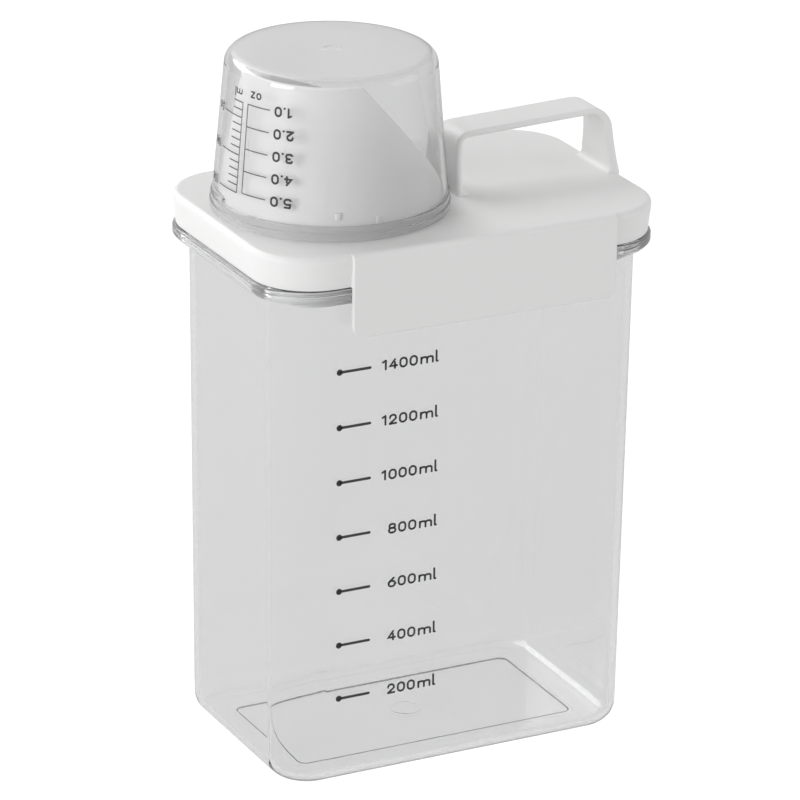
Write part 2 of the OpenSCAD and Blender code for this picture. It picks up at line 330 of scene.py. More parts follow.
def principled(name, colour, surface, bump_mm, **sockets):
    """A material: Principled BSDF, with its tone, roughness and bump from the moulded surface."""
    material = bpy.data.materials.new(name)
    material.use_nodes = True
    tree = material.node_tree
    shader = tree.nodes["Principled BSDF"]
    group = tree.nodes.new("ShaderNodeGroup")
    group.node_tree = moulded
    for label, value in surface.items():
        group.inputs[label].default_value = value
    tint = tree.nodes.new("ShaderNodeMix")
    tint.data_type = "RGBA"
    tint.blend_type = "MULTIPLY"
    tint.inputs["Factor"].default_value = 1.0
    tint.inputs["A"].default_value = (*colour, 1.0)
    grey = tree.nodes.new("ShaderNodeCombineColor")
    for channel in grey.inputs:
        tree.links.new(group.outputs["Tone"], channel)
    tree.links.new(grey.outputs["Color"], tint.inputs["B"])
    tree.links.new(tint.outputs["Result"], shader.inputs["Base Color"])
    tree.links.new(group.outputs["Roughness"], shader.inputs["Roughness"])
    bump = tree.nodes.new("ShaderNodeBump")
    bump.inputs["Strength"].default_value = 1.0
    bump.inputs["Distance"].default_value = bump_mm * MM
    tree.links.new(group.outputs["Height"], bump.inputs["Height"])
    tree.links.new(bump.outputs["Normal"], shader.inputs["Normal"])
    for label, value in sockets.items():
        shader.inputs[label.replace("_", " ")].default_value = value
    return material


white_lid = principled(
    "white_polypropylene", (0.86, 0.86, 0.855),
    {"Grain scale": 2600.0, "Grain depth": 1.0, "Wave scale": 30.0, "Wave depth": 0.6,
     "Tone spread": 0.03, "Roughness": 0.42, "Roughness spread": 0.12}, 0.012)
silicone = principled(
    "gasket_silicone", (0.72, 0.73, 0.73),
    {"Grain scale": 1500.0, "Grain depth": 0.6, "Wave scale": 60.0, "Wave depth": 0.4,
     "Tone spread": 0.05, "Roughness": 0.55, "Roughness spread": 0.15}, 0.02)
INK_SURFACE = {"Grain scale": 2200.0, "Grain depth": 1.0, "Wave scale": 400.0, "Wave depth": 0.3,
               "Tone spread": 0.7, "Roughness": 0.5, "Roughness spread": 0.2}
ink = principled("dark_grey_ink", (0.035, 0.035, 0.038), INK_SURFACE, 0.01)
thin_ink = principled("thin_grey_ink", (0.13, 0.13, 0.135), INK_SURFACE, 0.01)
print("opaque finishes:", white_lid.name, silicone.name, ink.name, thin_ink.name)

# %% [markdown]
# ## Clear plastic
# The container and the cup are clear styrene-like plastic with a faint grey tint.
# Principled with full transmission bends light as the real wall does, which draws
# the thin dark lines at its edges. Rays from the lamps would stop at such a wall,
# so a Mix Shader lets those pass as through a grey film. Without it the white
# spout under the cup would stay dark. The flange and the heel are made slightly
# milky and the cup's top is frosted. The cup's bead is tinted greyer and the
# edge of the container's recess dark grey, both painted shade, and the cup's wall
# has painted shade that darkens it where it is seen at a grazing angle. Each is a
# finish of its own, with less Transmission Weight or a deeper tint.

# %% Clear plastic


def clear_plastic(name, colour, surface, bump_mm, lamp_tint, clear=1.0, edge=0.0):
    """Transmission for the eye, a plain tint for rays from a lamp, and painted shade at grazing edges."""
    material = principled(name, colour, surface, bump_mm, Transmission_Weight=clear, IOR=1.49)
    tree = material.node_tree
    shader = tree.nodes["Principled BSDF"]
    film = tree.nodes.new("ShaderNodeBsdfTransparent")
    film.inputs["Color"].default_value = (lamp_tint, lamp_tint, lamp_tint, 1.0)
    path = tree.nodes.new("ShaderNodeLightPath")
    mix = tree.nodes.new("ShaderNodeMixShader")
    tree.links.new(path.outputs["Is Shadow Ray"], mix.inputs["Fac"])
    tree.links.new(shader.outputs["BSDF"], mix.inputs[1])
    tree.links.new(film.outputs["BSDF"], mix.inputs[2])
    tree.links.new(mix.outputs["Shader"], tree.nodes["Material Output"].inputs["Surface"])
    # Painted shade: where edge is set, the base colour darkens where the surface is seen at a grazing angle.
    if edge:
        facing = tree.nodes.new("ShaderNodeLayerWeight").outputs["Facing"]
        darker = maths(tree, "MULTIPLY", maths(tree, "POWER", facing, 3.0), edge)
        light = maths(tree, "SUBTRACT", 1.0, darker)
        shade = tree.nodes.new("ShaderNodeVectorMath")
        shade.operation = "SCALE"
        tree.links.new(shader.inputs["Base Color"].links[0].from_socket, shade.inputs[0])
        tree.links.new(light, shade.inputs["Scale"])
        tree.links.new(shade.outputs[0], shader.inputs["Base Color"])
    return material


BODY_SURFACE = {"Grain scale": 900.0, "Grain depth": 0.1, "Wave scale": 22.0, "Wave depth": 1.0,
                "Tone spread": 0.02, "Roughness": 0.02, "Roughness spread": 0.03}
CUP_SURFACE = {**BODY_SURFACE, "Wave scale": 40.0}
FROSTED = {**BODY_SURFACE, "Grain depth": 1.0, "Roughness": 0.5, "Roughness spread": 0.1}
clear_body = clear_plastic("clear_container_plastic", (0.925, 0.925, 0.928), BODY_SURFACE, 0.02, 0.96)
hazy_rim = clear_plastic("hazy_rim_plastic", (0.87, 0.87, 0.875), BODY_SURFACE, 0.02, 0.96, 0.78)
# Painted shade: a dark grey plastic for the edge of the floor's recess, which draws a dark line round it.
painted_shade_step = clear_plastic("painted_shade_step_plastic", (0.3, 0.3, 0.3), BODY_SURFACE, 0.02, 0.96, 0.9)
# The cup's wall darkens at grazing angles, which is painted shade.
clear_cup = clear_plastic("clear_cup_plastic", (0.91, 0.91, 0.912), CUP_SURFACE, 0.01, 0.98, 1.0, 0.6)
# Painted shade: the cup's bead is tinted greyer than its wall.
painted_shade_bead = clear_plastic("painted_shade_bead_plastic", (0.68, 0.68, 0.685), CUP_SURFACE, 0.01, 0.96, 0.9)
frosted_top = clear_plastic("frosted_cup_plastic", (0.93, 0.93, 0.932), FROSTED, 0.01, 0.96, 0.62)
print("clear finishes:", ", ".join(m.name for m in (clear_body, hazy_rim, painted_shade_step, clear_cup,
                                                   painted_shade_bead, frosted_top)))

# %% [markdown]
# ## The clear container
# The real container is one shell: a floor that is recessed inside a foot band, a
# round heel, walls that lean out by half a degree, a flange for the lid to rest
# on and a lip inside it. It is drawn as one section that runs from the middle of
# the underside, up the outside, over the lip and down the inside to the floor,
# where a low ring marks the gate. The plastic then has a true thickness
# everywhere. The faces of the flange and of the heel are picked by their place
# and made slightly milky. The faces of the recess's edge are picked the same way
# and take a dark grey, painted shade that draws a dark line round the recess.

# %% Section of the container
step_r = 0.3
foot_half = (base_l / 2 - foot_end_w, base_w / 2 - foot_side_w)


def foot_ring(grow, z):
    """A ring along the edge of the floor's recess, grown outwards by some millimetres."""
    return oblong(foot_half[0] + grow, foot_half[1] + grow, foot_r + grow, z)


underside = rounded([(-2, foot_h, 0), (0, foot_h, step_r), (0, 0, step_r), (1.5, 0, 0)])
lip_z = rim_z + lip_h
flange_z = rim_z - rim_h
groove_z, groove_half, groove_in = flange_z + rim_h / 2, 0.25, 0.35
shell = rounded([
    (6.5, 0, 0, 0), (wall_r(0), 0, 0, heel_r),
    (wall_r(flange_z - 3), flange_z - 3, 0, 1.0),
    (rim_r - 1.3, flange_z - 1.5, rim_end, 1.2), (rim_r, flange_z, rim_end, 0.7),
    (rim_r, groove_z - groove_half, rim_end, 0.15), (rim_r - groove_in, groove_z, rim_end, 0.15),
    (rim_r, groove_z + groove_half, rim_end, 0.15),
    (rim_r, rim_z, rim_end, 0.6), (wall_r(rim_z), rim_z, 0, 0.3),
    (wall_r(lip_z), lip_z, 0, 0.6), (wall_r(lip_z) - wall_t, lip_z, 0, 0.6),
    (wall_r(floor_t) - wall_t, floor_t, 0, heel_r - wall_t), (6, floor_t, 0, 0)], steps=8)
print("section of", len(underside) + len(shell), "points")

# %% Container
gate_ring = [(5.8, 0.0), (5.3, 0.18), (4.7, 0.18), (4.2, 0.0)]
rings = [foot_ring(g, z) for g, z in underside]
rings += [post_ring(r, z, out) for r, z, out in shell]
rings += [oblong(r, r, r - 0.05, floor_t + h) for r, h in gate_ring]
container = make_piece("clear_container", *join_rings(rings), clear_body,
                       "container_body", "container", "clear_body")
FLANGE_BAND = (flange_z - 3.5, rim_z + 0.2)
HEEL_BAND = 1.2
STEP_BAND = (0.05, 0.75)


def over_foot(x, y):
    """Whether a spot lies over the floor's recess or its edge."""
    return abs(x) < foot_half[0] + 1 and abs(y) < foot_half[1] + 1


finish_where(container, hazy_rim, lambda x, y, z: FLANGE_BAND[0] < z < FLANGE_BAND[1]
             or z < HEEL_BAND and not over_foot(x, y))
# Painted shade: the faces of the recess's edge take the dark grey plastic.
finish_where(container, painted_shade_step, lambda x, y, z: STEP_BAND[0] < z < STEP_BAND[1] and over_foot(x, y))

# %% [markdown]
# ## The lid
# The lid is one white moulding, but it is easier to build and to read as five
# forms that run into each other: the cap with its skirt, the plug that reaches
# into the container, the label panel on the front, the strap handle and the
# pouring spout. Where two forms meet, one runs a little way into the other, as
# in a moulding, so no gap can show.

# %% Cap and plug
ledge = 0.4
plug_z, plug_t, plug_rib = rim_z - 8, 1.8, 0.7
plug_r = wall_r(plug_z) - wall_t - lid_gap - 0.55 - 0.9
hole_r = collar_r - spout_t - ledge
hole_x = -(axis_x + plug_r - plug_t - ledge)


def hole_ring(z):
    """The hole under the spout: a circle that the plug cuts short at the lid's end."""
    return [Vector((max(p.x, hole_x), p.y, z)) for p in oblong(hole_r, hole_r, hole_r - 0.1, z, spout_x)]


cap_section = rounded([
    (lid_r - 8, lid_z, 0), (lid_r, lid_z, lid_edge_r), (skirt_r, skirt_z, 0.5),
    (skirt_r - skirt_t, skirt_z, 0.5), (skirt_r - skirt_t, ceiling_z, 0.8),
    (skirt_r - skirt_t - 4, ceiling_z, 0)], steps=7)
cap_rings = [post_ring(r, z, end_out) for r, z in cap_section]
cap_rings += [hole_ring(z) for z in (ceiling_z, lid_z)]
lid_cap = make_piece("lid_cap", *join_rings(cap_rings, loop=True), white_lid,
                     "lid_body", "lid", "white_lid")
gasket_low, gasket_high = rim_z - 4, rim_z
plug_section = rounded([
    (plug_r - plug_t, ceiling_z + 0.6, 0), (plug_r - plug_t, plug_z, 0.5), (plug_r, plug_z, 0.5),
    (plug_r, gasket_low - 1.2, 0.2), (plug_r + plug_rib, gasket_low - 1.2, 0.2),
    (plug_r + plug_rib, gasket_low, 0.2), (plug_r, gasket_low, 0.2),
    (plug_r, gasket_high, 0.2), (plug_r + plug_rib, gasket_high, 0.2),
    (plug_r + plug_rib, gasket_high + 1.2, 0.2), (plug_r, gasket_high + 1.2, 0.2),
    (plug_r, ceiling_z + 0.6, 0)], steps=3)
lid_plug = make_piece("lid_plug", *join_rings([post_ring(r, z) for r, z in plug_section], loop=True),
                      white_lid, "lid_body", "lid", "white_lid")

# %% Label panel
panel_l, panel_x, panel_r, panel_t = 96.4, 2.4, 4.0, 1.4
panel_low = rim_z - 16.7
panel_back = axis_y + rim_r + lid_gap
panel_front = panel_back + panel_t
panel_edge = 0.45
inside_y = axis_y + skirt_r - 1.0


def panel_ring(x, low, ease):
    """The panel's side section at a place along it, with its front set back by ease."""
    front = panel_front - ease
    section = rounded([
        (inside_y, lid_z - 0.6, 0), (axis_y + lid_r - 2.4, lid_z - 0.004, 0),
        (front, lid_z - 0.004, 2.0), (front, low, panel_edge), (panel_back, low, 0.3),
        (panel_back, skirt_z, 0.2), (inside_y, skirt_z, 0)])
    return [Vector((x, -y, z)) for y, z in section]


steps_in = sorted({round(panel_r * (1 - math.cos(math.radians(a))), 4) for a in range(0, 91, 6)}
                  | {round(panel_edge * (1 - math.cos(math.radians(a))), 4) for a in range(0, 91, 15)})
panel_rings = []
for side, order in ((-1, steps_in), (1, steps_in[::-1])):
    for d in order:
        low = panel_low + panel_r - math.sqrt(panel_r ** 2 - (panel_r - d) ** 2)
        short = max(0.0, panel_edge - d)
        ease = panel_edge - math.sqrt(panel_edge ** 2 - short ** 2)
        panel_rings.append(panel_ring(panel_x + side * (panel_l / 2 - d), low, ease))
label_panel = make_piece("label_panel", *join_rings(panel_rings), white_lid,
                         "lid_body", "lid", "white_lid")

# %% [markdown]
# The handle is a strap with two legs. Its outer and inner outlines have the same
# number of points, so a rounded section can be stretched between each pair. The
# legs grow deeper towards the lid, and flare out where they meet it, as a moulded
# leg does to spread its load.

# %% Strap handle
handle_x0, handle_x1 = spout_x + cup_rim_r + 1.7, lid_end - 0.12
strap_t, leg_t, leg_lean = 2.3, 3.2, 1.2
handle_w, handle_foot_w, handle_flare_h = 15.6, 23.0, 19.0
handle_top0, handle_top1 = lid_z + 20.8, lid_z + 22.8
flare_r, strap_edge, sink = 2.6, 1.0, 0.4
FLARE_STEPS = 6
LEG_HEIGHTS = (4, 5.5, 7, 8.5, 10, 11.5, 13)
LEAN_H = 15.0


def handle_half(z):
    """Half the handle's depth at a height."""
    near = max(0.0, 1 - max(0.0, z - lid_z) / handle_flare_h)
    return handle_w / 2 + (handle_foot_w - handle_w) / 2 * near ** 2


def flare(x, side):
    """Points of a concave quarter arc from the lid's top up to a leg's inner face."""
    return [Vector((x + side * flare_r * (1 - math.sin(a)), lid_z + flare_r * (1 - math.cos(a))))
            for a in (math.pi / 2 * k / FLARE_STEPS for k in range(FLARE_STEPS + 1))]


def leaning(x, side, h):
    """A point on a leg, which leans out by leg_lean between the strap and the lid."""
    return Vector((x + side * leg_lean * h / LEAN_H, lid_z + h))


def straight(x, side):
    """Points up the outer face of a leg, one for each point of its flare."""
    return [leaning(x, side, flare_r * k / FLARE_STEPS) for k in range(FLARE_STEPS + 1)]


def leg(x, side):
    """Points up a leg, from its flare to the corner of the strap."""
    return [leaning(x, side, h) for h in LEG_HEIGHTS]


def strap(x0, x1, top0, top1, r0, r1):
    """The handle's outline between the upper ends of its legs."""
    low = LEG_HEIGHTS[-1] + 0.8
    return rounded([(*leaning(x0, 1, low), 0), (*leaning(x0, 1, top0 - lid_z), r0),
                    (*leaning(x1, -1, top1 - lid_z), r1), (*leaning(x1, -1, low), 0)], steps=10)


inner0, inner1 = handle_x0 + strap_t, handle_x1 - leg_t
outer_line = ([Vector((handle_x0, lid_z - sink))] + straight(handle_x0, 1) + leg(handle_x0, 1)
              + strap(handle_x0, handle_x1, handle_top0, handle_top1, 5.0, 8.4)
              + leg(handle_x1, -1)[::-1] + straight(handle_x1, -1)[::-1]
              + [Vector((handle_x1, lid_z - sink))])
inner_line = ([Vector((inner0 + flare_r, lid_z - sink))] + flare(inner0, 1) + leg(inner0, 1)
              + strap(inner0, inner1, handle_top0 - strap_t, handle_top1 - strap_t, 2.7, 5.2)
              + leg(inner1, -1)[::-1] + flare(inner1, -1)[::-1]
              + [Vector((inner1 - flare_r, lid_z - sink))])
handle_rings = []
for outer, inner in zip(outer_line, inner_line):
    thick = (outer - inner).length
    deep = handle_half((outer.y + inner.y) / 2)
    corners = rounded([(0, 0, 0), (0, deep, strap_edge), (thick, deep, strap_edge),
                       (thick, 0, 0)], steps=4)
    across = [Vector((t, w)) for t, w in corners] + [Vector((t, -w)) for t, w in corners[-2:0:-1]]
    way = (inner - outer).normalized()
    handle_rings.append([Vector((outer.x + way.x * t, w, outer.y + way.y * t)) for t, w in across])
lid_handle = make_piece("lid_handle", *join_rings(handle_rings), white_lid,
                        "lid_body", "lid", "white_lid")

# %% [markdown]
# The spout is turned: an upright collar for the cup to sit over, and a wall that
# narrows above it. Its mouth is level on the side away from the handle and falls
# steeply towards the handle, so powder leaves over the low edge. Each ring of
# points near the mouth follows that slant with a height of its own.

# %% Pouring spout
lip_round = spout_t / 2
TURNS = [math.tau * i / ROUND_STEPS for i in range(ROUND_STEPS)]


def spout_r(z):
    """Radius of the spout's outside at a height."""
    return collar_r - max(0.0, z - break_z) * math.tan(spout_draft)


def mouth_point(a, inset, below):
    """Radius and height at an angle, set in from the outside and below the mouth."""
    r = collar_r - inset
    for _ in range(8):
        rise = (collar_r - r * math.cos(a)) * math.tan(mouth_slope)
        z = lid_z + min(mouth_high, mouth_low + rise) - below
        r = spout_r(z) - inset
    return r, z


def ring_below(inset):
    """The ring where the wall starts to narrow, or just under the mouth where that is lower."""
    heights = [min(break_z, mouth_point(a, inset, lip_round)[1] - ledge) for a in TURNS]
    return [Vector((spout_x + (collar_r - inset) * math.cos(a), (collar_r - inset) * math.sin(a), z))
            for a, z in zip(TURNS, heights)]


def mouth_ring(inset, below):
    """A ring along the slanted mouth."""
    spots = [(a, *mouth_point(a, inset, below)) for a in TURNS]
    return [Vector((spout_x + r * math.cos(a), r * math.sin(a), z)) for a, r, z in spots]


spout_rings = [circle(collar_r, ceiling_z + ledge), ring_below(0)]
spout_rings += [mouth_ring(lip_round * (1 - math.cos(a)), lip_round * (1 - math.sin(a)))
                for a in (math.pi * k / 8 for k in range(9))]
spout_rings += [ring_below(spout_t), circle(collar_r - spout_t, ceiling_z + ledge)]
pouring_spout = make_piece("pouring_spout", *join_rings(spout_rings, loop=True), white_lid,
                           "lid_body", "lid", "white_lid")

# %% Collar nubs
nub_w, nub_h, nub_out = 2.0, 2.4, 0.4


def nub(angle, low):
    """A small rounded pip on the spout that steadies the cup."""
    a = math.radians(angle)
    across = rounded([(collar_r - 1, -nub_w / 2, 0), (collar_r + nub_out, -nub_w / 2, 0.6),
                      (collar_r + nub_out, nub_w / 2, 0.6), (collar_r - 1, nub_w / 2, 0)], steps=3)
    return join_rings([[Vector((spout_x + out * math.cos(a) - side * math.sin(a),
                                out * math.sin(a) + side * math.cos(a), lid_z + z))
                        for out, side in across] for z in (low, low + nub_h)])


collar_nubs = make_piece(
    "collar_nubs", *gather(nub(side * turn_by, low) for side in (-1, 1)
                           for turn_by, low in ((112, 7.1), (91, 5.1))), white_lid,
    "lid_body", "lid", "white_lid")

# %% Gasket
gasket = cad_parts["lid_gasket"]
gasket.data.materials.clear()
gasket.data.materials.append(silicone)
low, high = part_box("lid_gasket")
print(f"gasket {1000 * (high.z - low.z):.1f} mm high keeps its CAD shape")

# %% [markdown]
# ## The measuring cup
# The cup is a clear tapered beaker, shown upside down. Its rim has two small
# beads, its wall narrows upwards, and its bottom has a soft round edge and a pip
# in the middle where the plastic entered the mould. The section runs up the
# outside and back down the inside, and is turned round the spout's axis.

# %% Measuring cup


def cup_wall(z):
    """Radius of the cup's outside at a height."""
    return cup_r - (z - cup_z - 2 * cup_step_h) * math.tan(cup_draft)


cup_top = cup_z + cup_h
bead_z = (cup_z + cup_step_h, cup_z + 2 * cup_step_h)
gate_r, gate_h = 3.1, 0.4
inner_top = cup_top - cup_t
rib_z, rib_h, rib_t, rib_angle, rib_turn = 4.4, 2.6, 0.22, 25, -86


def cup_ring(r, z, rib=0.0):
    """A ring of the cup, which stands in by rib where a rib is."""
    ring = []
    for i in range(ROUND_STEPS):
        a = math.tau * i / ROUND_STEPS
        near = (math.degrees(a) - rib_turn) % 120 <= rib_angle
        out = r - (rib if near else 0.0)
        ring.append(Vector((spout_x + out * math.cos(a), out * math.sin(a), z)))
    return ring


outside = rounded([
    (0.4, cup_top + gate_h, 0), (0.9, cup_top + gate_h, 0.1), (1.5, cup_top + 0.05, 0.3),
    (gate_r - 0.8, cup_top + 0.05, 0.3), (gate_r - 0.3, cup_top + gate_h, 0.2), (gate_r + 0.2, cup_top, 0.3),
    (cup_wall(cup_top), cup_top, cup_edge_r), (cup_wall(bead_z[1]), bead_z[1] + 0.1, 0.2),
    (cup_rim_r - 0.3, bead_z[1] - 0.2, 0.5), (cup_rim_r - 0.45, bead_z[0] + 0.05, 0.12),
    (cup_rim_r, bead_z[0], 0.3), (cup_rim_r, cup_z, 0.6), (cup_wall(cup_z) - cup_t, cup_z, 0.4),
    (cup_wall(cup_z + 4) - cup_t, cup_z + 4, 0)], steps=8)
ribs = [(rib_z, 0.0), (rib_z + 0.5, rib_t), (rib_z + rib_h - 0.5, rib_t), (rib_z + rib_h, 0.0)]
inside = rounded([
    (cup_wall(cup_z + 8) - cup_t, cup_z + 8, 0), (cup_wall(inner_top) - cup_t, inner_top, cup_edge_r - cup_t),
    (0.5, inner_top, 0)], steps=8)
cup_rings = [cup_ring(r, z) for r, z in outside]
cup_rings += [cup_ring(cup_wall(cup_z + h) - cup_t, cup_z + h, rib) for h, rib in ribs]
cup_rings += [cup_ring(r, z) for r, z in inside]
measuring_cup = make_piece("measuring_cup_shell", *join_rings(cup_rings), clear_cup,
                           "cup_body", "measuring_cup", "clear_cup")
# Painted shade: the bead's faces take the greyer plastic.
finish_where(measuring_cup, painted_shade_bead, lambda x, y, z: z < bead_z[1] + 0.1)
finish_where(measuring_cup, frosted_top, lambda x, y, z: z > cup_top - 0.7)

# %% [markdown]
# ## Printed scales
# The scales are pad printed: a thin film of ink on the outside of the clear wall.
# Each mark is a pen stroke with a round end, drawn flat in millimetres and then
# laid on the wall by a small function, so the same strokes can go on the flat
# front of the container and round the tapered cup.

# %% Pen strokes
INK_T = 0.06
END_STEPS = 4


def pen(path, width, lay):
    """A flat stroke with round ends along a path, put on a surface by lay(u, v, height)."""
    half = width / 2
    first, last = (path[1] - path[0]).normalized(), (path[-1] - path[-2]).normalized()
    spots = [(path[0] - first * half * math.cos(a), first, half * math.sin(a))
             for a in (math.pi / 2 * (k + 0.3) / END_STEPS for k in range(END_STEPS))]
    for i, spot in enumerate(path):
        before = first if i == 0 else (spot - path[i - 1]).normalized()
        after = last if i == len(path) - 1 else (path[i + 1] - spot).normalized()
        way = (before + after).normalized()
        spots.append((spot, way, half / max(0.5, way.dot(after))))
    spots += [(path[-1] + last * half * math.cos(a), last, half * math.sin(a))
              for a in (math.pi / 2 * (k + 0.3) / END_STEPS for k in reversed(range(END_STEPS)))]
    rings_along = []
    for spot, way, reach in spots:
        side = Vector((-way.y, way.x)) * reach
        rings_along.append([lay(*(spot + side * s), h) for s, h in
                            ((1, -INK_T / 2), (1, INK_T), (-1, INK_T), (-1, -INK_T / 2))])
    return join_rings(rings_along)


def line(*points):
    """A path of sharp corners."""
    return [Vector(p) for p in points]


print("ink stands", INK_T, "mm off the wall")

# %% [markdown]
# The numerals are drawn as strokes too, on a grid one unit high. Open figures
# list their corners with a radius for each, and the rounding helper bends them.

# %% Numerals
W = 0.78


def closed(x0, y0, x1, y1, r):
    """A round-cornered loop that starts and ends in the middle of its foot."""
    mid = (x0 + x1) / 2
    return rounded([(mid, y0, 0), (x1, y0, r), (x1, y1, r), (x0, y1, r), (x0, y0, r), (mid, y0, 0)])


FIGURES = {
    "0": (W, [closed(0, 0, W, 1, 0.36)]),
    "1": (0.52, [line((0.10, 0.84), (0.44, 1.0)), line((0.44, 1.0), (0.44, 0.0))]),
    "2": (W, [rounded([(0.03, 0.74, 0), (0.03, 1, 0.30), (W - 0.03, 1, 0.34), (W - 0.03, 0.56, 0.2),
                       (0, 0, 0)]), line((0, 0), (W, 0))]),
    "3": (W, [rounded([(0.04, 0.82, 0), (0.04, 1, 0.16), (W - 0.05, 1, 0.24), (W - 0.05, 0.54, 0.21),
                       (0.3, 0.54, 0)]),
              rounded([(0.3, 0.54, 0), (W, 0.54, 0.26), (W, 0, 0.26), (0, 0, 0.2), (0, 0.2, 0)])]),
    "4": (W, [line((0.58, 1.0), (0, 0.28), (W + 0.04, 0.28)), line((0.58, 0.66), (0.58, 0))]),
    "5": (W, [line((W - 0.06, 1), (0.1, 1)), rounded([(0.1, 1, 0), (0.05, 0.6, 0.02), (W, 0.66, 0.3),
                                                      (W, 0, 0.32), (0, 0, 0.2), (0, 0.2, 0)])]),
    "6": (W, [rounded([(0.62, 1, 0), (0, 0.5, 0.3), (0, 0, 0.32), (W, 0, 0.32), (W, 0.63, 0.31),
                       (0, 0.63, 0.31), (0, 0.3, 0)])]),
    "8": (W, [closed(0.05, 0.54, W - 0.05, 1, 0.22), closed(0, 0, W, 0.54, 0.26)]),
    ".": (0.06, [line((0, 0), (0.05, 0))]),
    "m": (1.40, [line((0, 0), (0, 0.66)),
                 rounded([(0, 0.4, 0), (0, 0.66, 0.25), (0.7, 0.66, 0.22), (0.7, 0, 0)]),
                 rounded([(0.7, 0.4, 0), (0.7, 0.66, 0.25), (1.4, 0.66, 0.22), (1.4, 0, 0)])]),
    "l": (0.14, [rounded([(0, 1.22, 0), (0, 0, 0.08), (0.14, 0, 0)])]),
    "o": (0.62, [closed(0, 0, 0.62, 0.66, 0.28)]),
    "z": (0.56, [line((0, 0.66), (0.56, 0.66)), line((0.56, 0.66), (0, 0)), line((0, 0), (0.56, 0))]),
}
GAP = 0.45


def words(text, size, width, place, lay, half_turn=False):
    """Strokes for a word that ends at place, centred on it in height."""
    x = 0.0
    paths = []
    for k, letter in enumerate(text):
        x += GAP + (0.1 if letter == "m" else 0.0) if k else 0.0
        wide, strokes = FIGURES[letter]
        paths += [[Vector((x + p.x, p.y - 0.5)) for p in stroke] for stroke in strokes]
        x += wide
    spin = -1 if half_turn else 1
    return [pen([place + spin * size * (p - Vector((x, 0))) for p in path], width, lay) for path in paths]


print("figures", "".join(FIGURES))

# %% Scale on the container
PRINT_LEAN, PRINT_MIDDLE = 0.012, 90.0


def on_wall(x, z, h):
    """A point on the container's front wall, where the printed column leans by under a degree."""
    return Vector((x - (z - PRINT_MIDDLE) * PRINT_LEAN, -(base_w / 2 + z * math.tan(draft)) - h, z))


MARK_LOW, MARK_STEP, MARK_W = 31.6, 19.4, 0.95
MARK_X0, MARK_X1, DOT_X, DOT_R, DOT_W, FIGURE_X = -47.0, -35.9, -46.9, 0.55, 1.1, -11.3
mark_z = [MARK_LOW + MARK_STEP * k for k in range(7)]
marks, numerals = [], []
for k, z in enumerate(mark_z):
    marks.append(pen(line((MARK_X0, z), (MARK_X1, z)), MARK_W, on_wall))
    dot = [Vector((DOT_X + DOT_R * math.cos(a), z + DOT_R * math.sin(a)))
           for a in (math.tau * i / 16 for i in range(17))]
    marks.append(pen(dot, DOT_W, on_wall))
    numerals += words(f"{200 * (k + 1)}ml", 3.0, 0.72, Vector((FIGURE_X, z)), on_wall)
volume_marks = make_piece("volume_marks", *gather(marks), ink, "container_body")
volume_numerals = make_piece("volume_numerals", *gather(numerals), ink, "container_body")

# %% Scales on the cup
CUP_REACH = 37.5


def on_cup(s, z, h):
    """A point on the cup's wall, s millimetres round it at the cup's mean radius."""
    r, a = cup_wall(z) + h, s / CUP_REACH
    return Vector((spout_x + r * math.cos(a), r * math.sin(a), z))


def round_cup(degrees):
    """Millimetres round the cup for a compass angle."""
    return math.radians(degrees) * CUP_REACH


def across(z, a0, a1, width):
    """A level stroke round the cup between two compass angles."""
    s0, s1 = round_cup(a0), round_cup(a1)
    steps = 8
    return pen([Vector((s0 + (s1 - s0) * k / steps, z)) for k in range(steps + 1)], width, on_cup)


def upright(degrees, z0, z1, width):
    """A stroke up the cup's wall."""
    s = round_cup(degrees)
    return pen(line((s, z0), (s, z1)), width, on_cup)


OZ_TOP, OZ_STEP, OZ_ML, BAR_W, TICK_W = 231.3, 7.4, 29.57, 0.38, 0.42
OZ_BAR, OZ_TICK, OZ_FIGURE = -164.5, -149.6, -146.0
ML_BAR, ML_SHORT, ML_LONG, ML_FIGURE = -168.6, -176.5, -185.5, -189.5
oz_z = [OZ_TOP - OZ_STEP * k for k in range(5)]
scale = [upright(OZ_BAR, oz_z[0], oz_z[-1], BAR_W)]
figures = []
for k, z in enumerate(oz_z):
    scale.append(across(z, OZ_BAR, OZ_TICK, BAR_W))
    figures += words(f"{k + 1}.0", 2.7, 0.7, Vector((round_cup(OZ_FIGURE), z)), on_cup, half_turn=True)
ml_z = [OZ_TOP - (volume - OZ_ML) * OZ_STEP / OZ_ML for volume in range(30, 151, 10)]
scale.append(upright(ML_BAR, ml_z[0], ml_z[-1], BAR_W))
for k, z in enumerate(ml_z):
    long = (k + 3) % 5 == 0
    scale.append(across(z, ML_BAR, ML_LONG if long else ML_SHORT, TICK_W))
    if long:
        volume = str(10 * (k + 3))
        wide = 2.2 * (sum(FIGURES[c][0] for c in volume) + GAP * (len(volume) - 1))
        figures += words(volume, 2.2, 0.3, Vector((round_cup(ML_FIGURE) - wide, z)), on_cup, half_turn=True)
figures += words("oz", 2.7, 0.5, Vector((round_cup(-162.5), 234.4)), on_cup, half_turn=True)
figures += words("ml", 2.1, 0.42, Vector((round_cup(ML_SHORT), 234.1)), on_cup, half_turn=True)
cup_marks = make_piece("cup_marks", *gather(scale), thin_ink, "cup_body")
cup_numerals = make_piece("cup_numerals", *gather(figures), ink, "cup_body")

# %% [markdown]
# ## Studio floor, light and background
# The floor is a plain pale sheet. For rays from the camera, and for those that
# come through clear plastic or off a gloss, it shows a plain white that still
# darkens under the object. All other rays see an ordinary pale floor, so it
# throws a natural amount of light back up.
# The softboxes are hidden from the camera, and the two low ones also from rays
# through clear plastic, so that neither shows as a white square behind the
# container. The high one stays, because its glints draw the inner heel.

